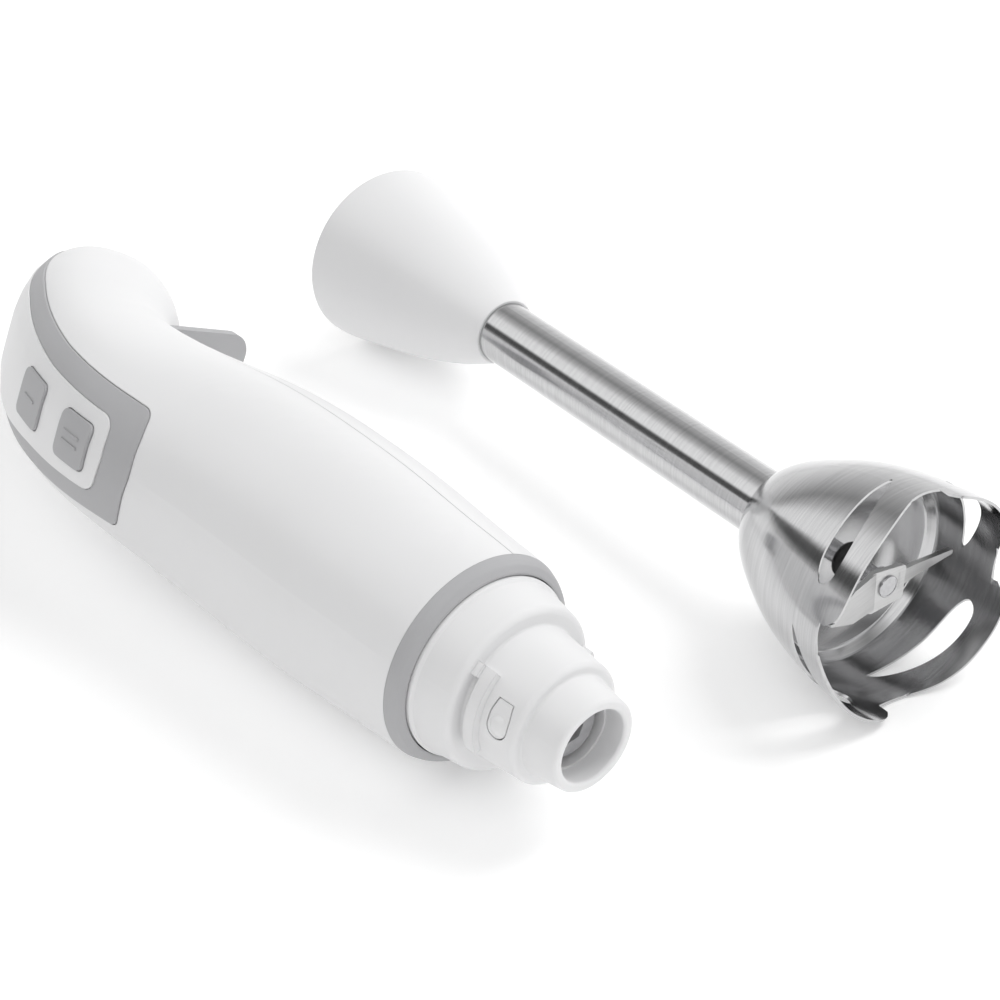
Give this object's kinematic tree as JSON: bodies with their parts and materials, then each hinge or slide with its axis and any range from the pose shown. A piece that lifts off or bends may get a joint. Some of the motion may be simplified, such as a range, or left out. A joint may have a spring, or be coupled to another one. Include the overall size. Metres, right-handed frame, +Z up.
{
  "type": "immersion blender",
  "caption": "Immersion blender taken apart: a motor handle with two speed buttons and a bayonet boss, and a steel blending leg with a slotted bell and blade.",
  "frame": {"origin": "centre of the bounding box seen from above, on the table the two assemblies lie on", "axes": "+X runs with the handle from its head to its coupling end, within 1.4 degrees; +Z up; +Y from the handle towards the leg"},
  "size_m": [0.2788, 0.1744, 0.0629],
  "materials": {
    "white_plastic": "satin moulded",
    "grey_plastic": "fine-textured moulded",
    "black_rubber": "matt",
    "nylon": "moulded",
    "grey_nylon": "moulded",
    "black_nylon": "moulded",
    "screw_steel": "zinc plated",
    "circuit_laminate": "lacquered",
    "lamination_steel": "stacked laminations",
    "enamelled_copper": "enamelled wire",
    "zinc_steel": "pressed and zinc plated",
    "sintered_bronze": "oil filled, matt",
    "brass": "drawn",
    "carbon": "pressed carbon",
    "spring_steel": "drawn wire",
    "commutator_copper": "turned",
    "brushed_steel": "round and round brushing",
    "turned_steel": "spun and brushed",
    "polished_steel": "ground",
    "blade_steel": "stamped, fine ground"
  },
  "bodies": {
    "motor_unit": {"main_housing": "white_plastic", "rear_cover": "white_plastic", "panel_frame": "grey_plastic", "panel_insert": "white_plastic", "end_ring": "grey_plastic", "coupling_boss": "white_plastic", "rear_hook": "grey_plastic", "cord_inlet_bush": "black_rubber", "cord_clamp": "nylon", "cord_clamp_screws": "screw_steel", "housing_screws": "screw_steel", "circuit_board": "circuit_laminate", "speed_switches": "black_nylon", "stator_core": "lamination_steel", "field_coils": "enamelled_copper", "front_bracket": "zinc_steel", "front_bearing": "sintered_bronze", "rear_bracket": "zinc_steel", "rear_bearing": "sintered_bronze", "brush_holders": "brass", "carbon_brushes": "carbon", "brush_springs": "spring_steel", "motor_mounts": "black_rubber", "speed_1_spring": "spring_steel", "speed_2_spring": "spring_steel"},
    "speed_1": {"speed_1_button": "grey_plastic"},
    "speed_2": {"speed_2_button": "grey_plastic"},
    "latch": {"latch_tongue": "white_plastic"},
    "rotor": {"motor_shaft": "polished_steel", "armature_core": "lamination_steel", "armature_winding": "enamelled_copper", "commutator": "commutator_copper", "cooling_fan": "nylon", "drive_dog": "grey_nylon"},
    "leg": {"collar": "white_plastic", "collar_socket": "nylon", "leg_tube": "brushed_steel", "bell_guard": "turned_steel", "bell_inner_disc": "turned_steel", "upper_bush": "nylon", "bush_housing": "grey_nylon", "lower_bush": "sintered_bronze", "shaft_seal": "black_rubber"},
    "spindle": {"drive_shaft": "polished_steel", "driven_coupler": "grey_nylon", "blade": "blade_steel", "blade_ring": "polished_steel", "blade_spacer": "polished_steel"}
  },
  "joints": [
    {"name": "speed_1_press", "type": "slide", "parent": "motor_unit", "child": "speed_1", "axis": [0.249, 0.8803, -0.4037], "range_m": [0, 0.0012], "stiffness_N_per_m": 500, "springref_m": -0.0016, "deforming": ["speed_1_spring"]},
    {"name": "speed_2_press", "type": "slide", "parent": "motor_unit", "child": "speed_2", "axis": [0.0423, 0.9102, -0.4121], "range_m": [0, 0.0012], "stiffness_N_per_m": 500, "springref_m": -0.0016, "deforming": ["speed_2_spring"]},
    {"name": "latch_flex", "type": "hinge", "parent": "motor_unit", "child": "latch", "pos_m": [0.10475, -0.06169, 0.03898], "axis": [0.9997, 0, -0.0244], "range_deg": [0, 4.5], "stiffness_Nm_per_rad": 0.6, "springref_deg": -0.57},
    {"name": "motor_spin", "type": "hinge", "parent": "motor_unit", "child": "rotor", "pos_m": [0.07961, -0.0506, 0.02964], "axis": [0.9997, 0, -0.0244], "continuous": true},
    {"name": "leg_draw_off", "type": "slide", "parent": "motor_unit", "child": "leg", "axis": [0.9968, -0.0777, 0.0188], "range_m": [0, 0.04]},
    {"name": "blade_spin", "type": "hinge", "parent": "leg", "child": "spindle", "pos_m": [-0.03339, 0.0559, 0.02783], "axis": [0.9968, -0.0777, 0.0188], "continuous": true}
  ]
}
